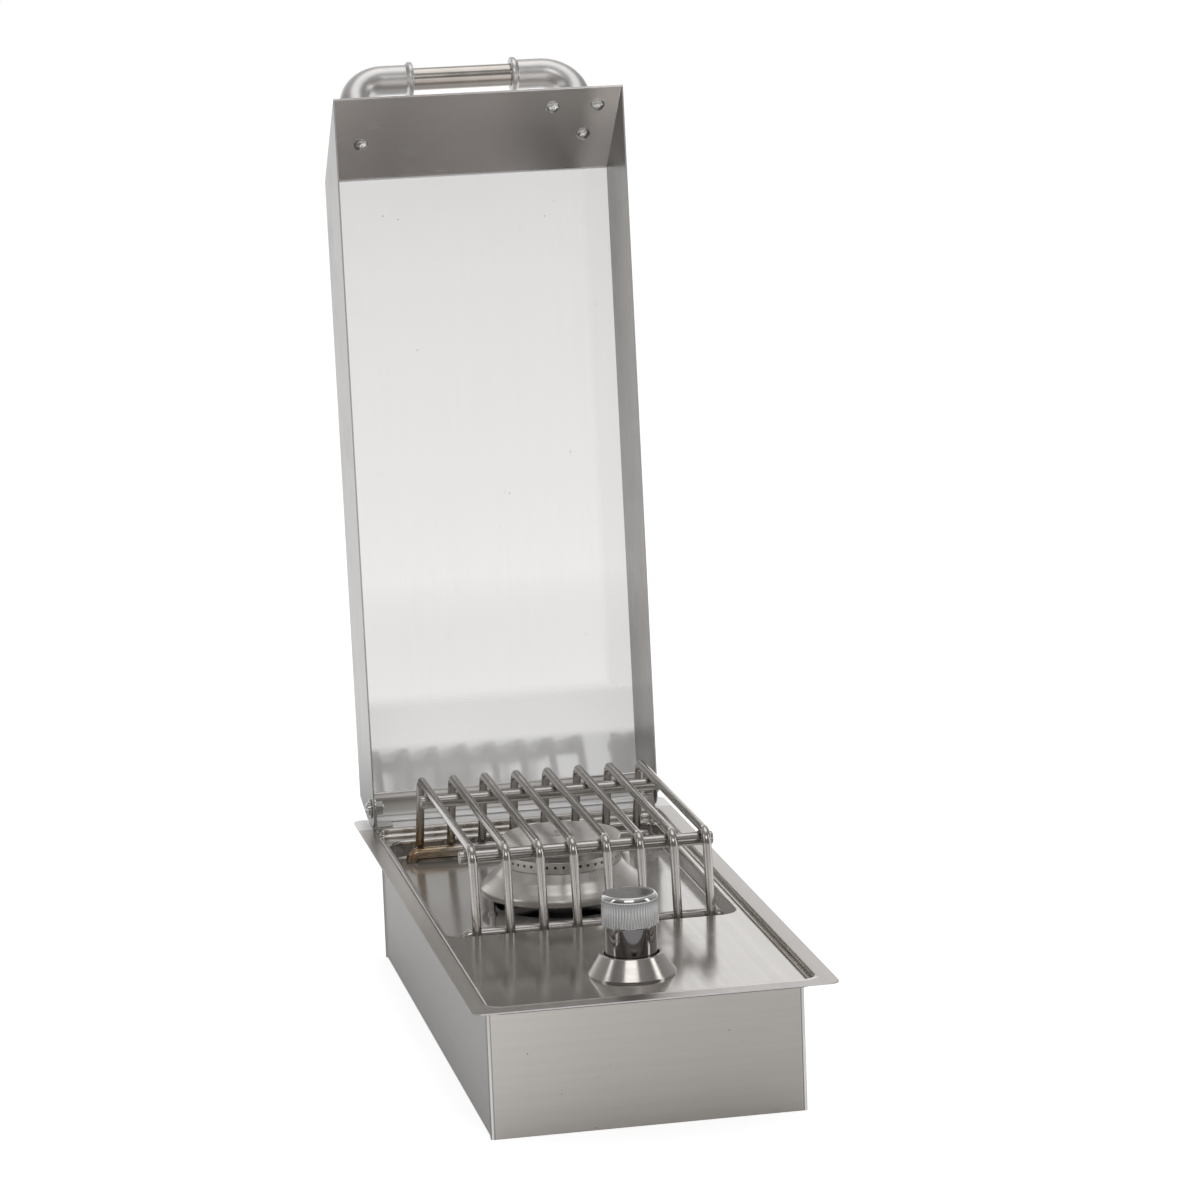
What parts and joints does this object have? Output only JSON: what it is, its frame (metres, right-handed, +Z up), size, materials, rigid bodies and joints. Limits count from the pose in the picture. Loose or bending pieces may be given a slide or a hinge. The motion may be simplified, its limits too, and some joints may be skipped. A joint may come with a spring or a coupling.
{
  "type": "built in side burner",
  "caption": "Narrow drop-in stainless gas side burner with a hinged lid, tubular handle, bent-rod grate and push-and-turn control knob.",
  "frame": {"origin": "middle of the housing's bottom face", "axes": "+X to the right, +Y to the back where the lid is hinged, +Z up; the lid is stored open"},
  "size_m": [0.267, 0.7182, 0.7361],
  "materials": {
    "stainless_sheet": "brushed",
    "burner_steel": "satin",
    "burner_casting": "as cast",
    "fastener_steel": "bright",
    "plated_steel": "zinc plated",
    "igniter_ceramic": "glazed",
    "brass": "machined",
    "knob_chrome": "polished",
    "bezel_steel": "turned",
    "grate_steel": "satin",
    "handle_chrome": "polished"
  },
  "bodies": {
    "base": {"top_pan": "stainless_sheet", "housing_bottom": "stainless_sheet", "housing_front": "stainless_sheet", "housing_back": "stainless_sheet", "housing_side_left": "stainless_sheet", "housing_side_right": "stainless_sheet", "burner_bowl": "burner_steel", "burner_port_ring": "burner_steel", "burner_body": "burner_casting", "burner_cap": "burner_steel", "cap_screw": "fastener_steel", "burner_standoffs": "fastener_steel", "burner_carrier": "plated_steel", "igniter_post": "igniter_ceramic", "igniter_wire": "fastener_steel", "venturi_tube": "burner_casting", "orifice_spud": "brass", "gas_valve_body": "burner_casting", "valve_bracket": "plated_steel", "valve_screws": "fastener_steel", "knob_bezel": "bezel_steel", "gas_inlet_pipe": "burner_casting", "inlet_fitting": "brass", "inlet_lock_nut": "brass", "hinge_bracket_left": "stainless_sheet", "hinge_bracket_right": "stainless_sheet", "hinge_bolts": "fastener_steel", "hinge_washers": "fastener_steel", "hinge_nuts": "fastener_steel"},
    "lid": {"lid_panel": "stainless_sheet", "lid_side_left": "stainless_sheet", "lid_side_right": "stainless_sheet", "handle_elbow_left": "handle_chrome", "handle_elbow_right": "handle_chrome", "handle_tube": "handle_chrome", "handle_screws": "fastener_steel", "panel_studs": "fastener_steel"},
    "knob_plunger": {"stem_spring_cup": "plated_steel"},
    "knob": {"valve_stem": "brass", "knob_skirt": "knob_chrome", "knob_grip": "knob_chrome"},
    "shutter": {"air_shutter": "plated_steel"},
    "grate": {"grate_rods": "grate_steel", "grate_top_bars": "grate_steel", "grate_lower_bars": "grate_steel"}
  },
  "joints": [
    {"name": "lid_hinge", "type": "hinge", "parent": "base", "child": "lid", "pos_m": [0, 0.2815, 0.1232], "axis": [1, 0, 0], "range_deg": [0, 93.65]},
    {"name": "knob_push", "type": "slide", "parent": "base", "child": "knob_plunger", "axis": [0, 0, -1], "range_m": [0, 0.003], "stiffness_N_per_m": 600, "springref_m": -0.004},
    {"name": "knob_turn", "type": "hinge", "parent": "knob_plunger", "child": "knob", "pos_m": [0, -0.215, 0.14], "axis": [0, 0, 1], "range_deg": [0, 180]},
    {"name": "grate_lift", "type": "slide", "parent": "base", "child": "grate", "axis": [0, 0, 1], "range_m": [0, 0.022]},
    {"name": "air_shutter_turn", "type": "hinge", "parent": "base", "child": "shutter", "pos_m": [0, -0.155, 0.0553], "axis": [0, 1, 0], "range_deg": [0, 60]}
  ]
}
